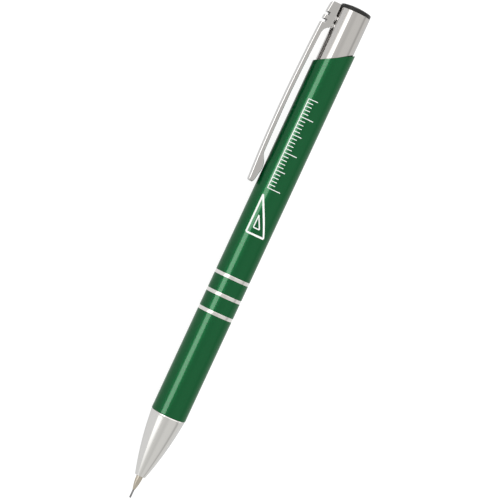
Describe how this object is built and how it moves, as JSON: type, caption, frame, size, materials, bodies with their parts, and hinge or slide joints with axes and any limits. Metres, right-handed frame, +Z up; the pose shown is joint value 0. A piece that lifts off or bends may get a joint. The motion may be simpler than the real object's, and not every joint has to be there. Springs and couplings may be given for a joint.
{
  "type": "lead holder",
  "caption": "Push-button lead holder: green metal barrel with bright bands, ogive nose and guide tip, telescoping chromed cap with clip and black plug.",
  "frame": {"origin": "middle of the ground under the pencil as it lies on its side, resting on its barrel and on the edge of its clip", "axes": "+X along the pencil to its writing end, +Z up, the clip towards -Y and rolled down to the ground"},
  "size_m": [0.139, 0.0126, 0.0095],
  "materials": {
    "lacquer_green": "dark green gloss lacquer on a metal tube",
    "bright_band": "bright turned metal",
    "chrome": "polished chrome plating",
    "brass": "turned brass",
    "tip_nickel_brass": "pale nickelled brass, fine turned",
    "seal_rubber": "soft rubber",
    "white_plastic": "translucent white moulding",
    "grey_plastic": "grey moulding",
    "socket_metal": "satin aluminium",
    "graphite": null,
    "spring_steel": "drawn spring wire",
    "eraser_rubber": "white vinyl rubber",
    "black_plastic": "black gloss moulding"
  },
  "bodies": {
    "barrel": {"barrel": "lacquer_green", "ring_front": "bright_band", "ring_middle": "bright_band", "ring_rear": "bright_band", "nose_cone": "chrome", "nose_thread_insert": "brass", "lead_tip": "tip_nickel_brass", "lead_retainer": "seal_rubber", "mechanism_sleeve": "brass"},
    "lead_feed": {"chuck": "brass", "chuck_coupler": "white_plastic", "lead_tube": "white_plastic", "eraser_socket": "socket_metal", "spare_leads": "graphite", "return_spring": "spring_steel"},
    "clutch": {"clutch_ring": "brass"},
    "lead": {"lead": "graphite"},
    "eraser": {"eraser": "eraser_rubber"},
    "cap_grip": {"cap_liner": "grey_plastic"},
    "push_cap": {"cap_tube": "chrome", "cap_plug": "black_plastic"},
    "clip": {"clip": "chrome"}
  },
  "joints": [
    {"name": "push", "type": "slide", "parent": "barrel", "child": "lead_feed", "axis": [1, 0, 0], "range_m": [0, 0.003], "stiffness_N_per_m": 800, "deforming": ["return_spring"]},
    {"name": "clutch_travel", "type": "slide", "parent": "barrel", "child": "clutch", "axis": [1, 0, 0], "range_m": [0, 0.001]},
    {"name": "lead_feeding", "type": "slide", "parent": "clutch", "child": "lead", "axis": [1, 0, 0], "range_m": [-0.0023, 0.045]},
    {"name": "eraser_pull", "type": "slide", "parent": "lead_feed", "child": "eraser", "axis": [-1, 0, 0], "range_m": [0, 0.005]},
    {"name": "cap_pull", "type": "slide", "parent": "lead_feed", "child": "cap_grip", "axis": [-1, 0, 0], "range_m": [0, 0.03]},
    {"name": "cap_turn", "type": "hinge", "parent": "cap_grip", "child": "push_cap", "pos_m": [-0.0455, 0.00151, 0.00475], "axis": [1, 0, 0], "continuous": true},
    {"name": "clip_flex", "type": "hinge", "parent": "push_cap", "child": "clip", "pos_m": [-0.0681, -0.00239, 0.00304], "axis": [0, 0.4021, -0.9156], "range_deg": [0, 5], "stiffness_Nm_per_rad": 0.3}
  ],
  "couplings": [
    {"joint": "clutch_travel", "follows": "push", "ratio": 0.3333}
  ]
}
